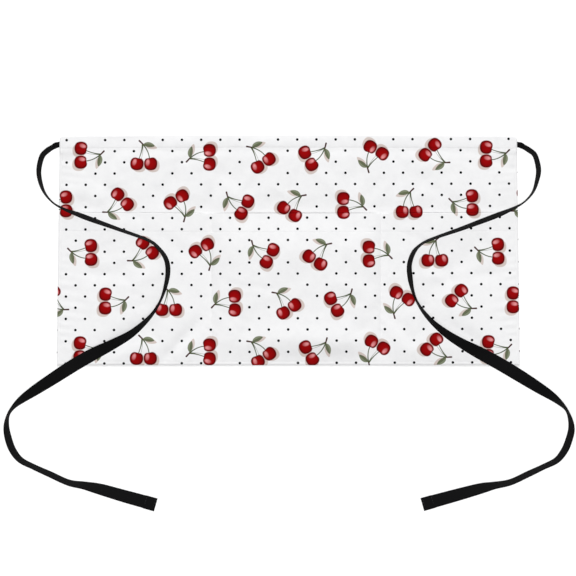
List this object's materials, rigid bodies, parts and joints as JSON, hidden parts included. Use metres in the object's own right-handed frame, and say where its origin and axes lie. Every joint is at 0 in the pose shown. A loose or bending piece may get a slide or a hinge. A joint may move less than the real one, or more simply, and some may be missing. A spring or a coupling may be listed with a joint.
{
  "type": "waist apron",
  "caption": "Rectangular half apron of printed cloth, with open pockets across its front and a long flat tape tie at each upper corner.",
  "frame": {"origin": "on the surface that the apron lies on, under the centre of its cloth", "axes": "+X to the right seen from the front with the waist edge up, +Y from the lower edge to the waist edge, +Z out of the printed face"},
  "size_m": [0.7542, 0.4973, 0.0276],
  "materials": {
    "printed_cloth": "matt printed cotton twill",
    "tape": "matt black woven tape"
  },
  "bodies": {
    "root": {"back_panel": "printed_cloth", "pocket_panel": "printed_cloth", "tie_left": "tape", "tie_right": "tape"}
  },
  "joints": []
}
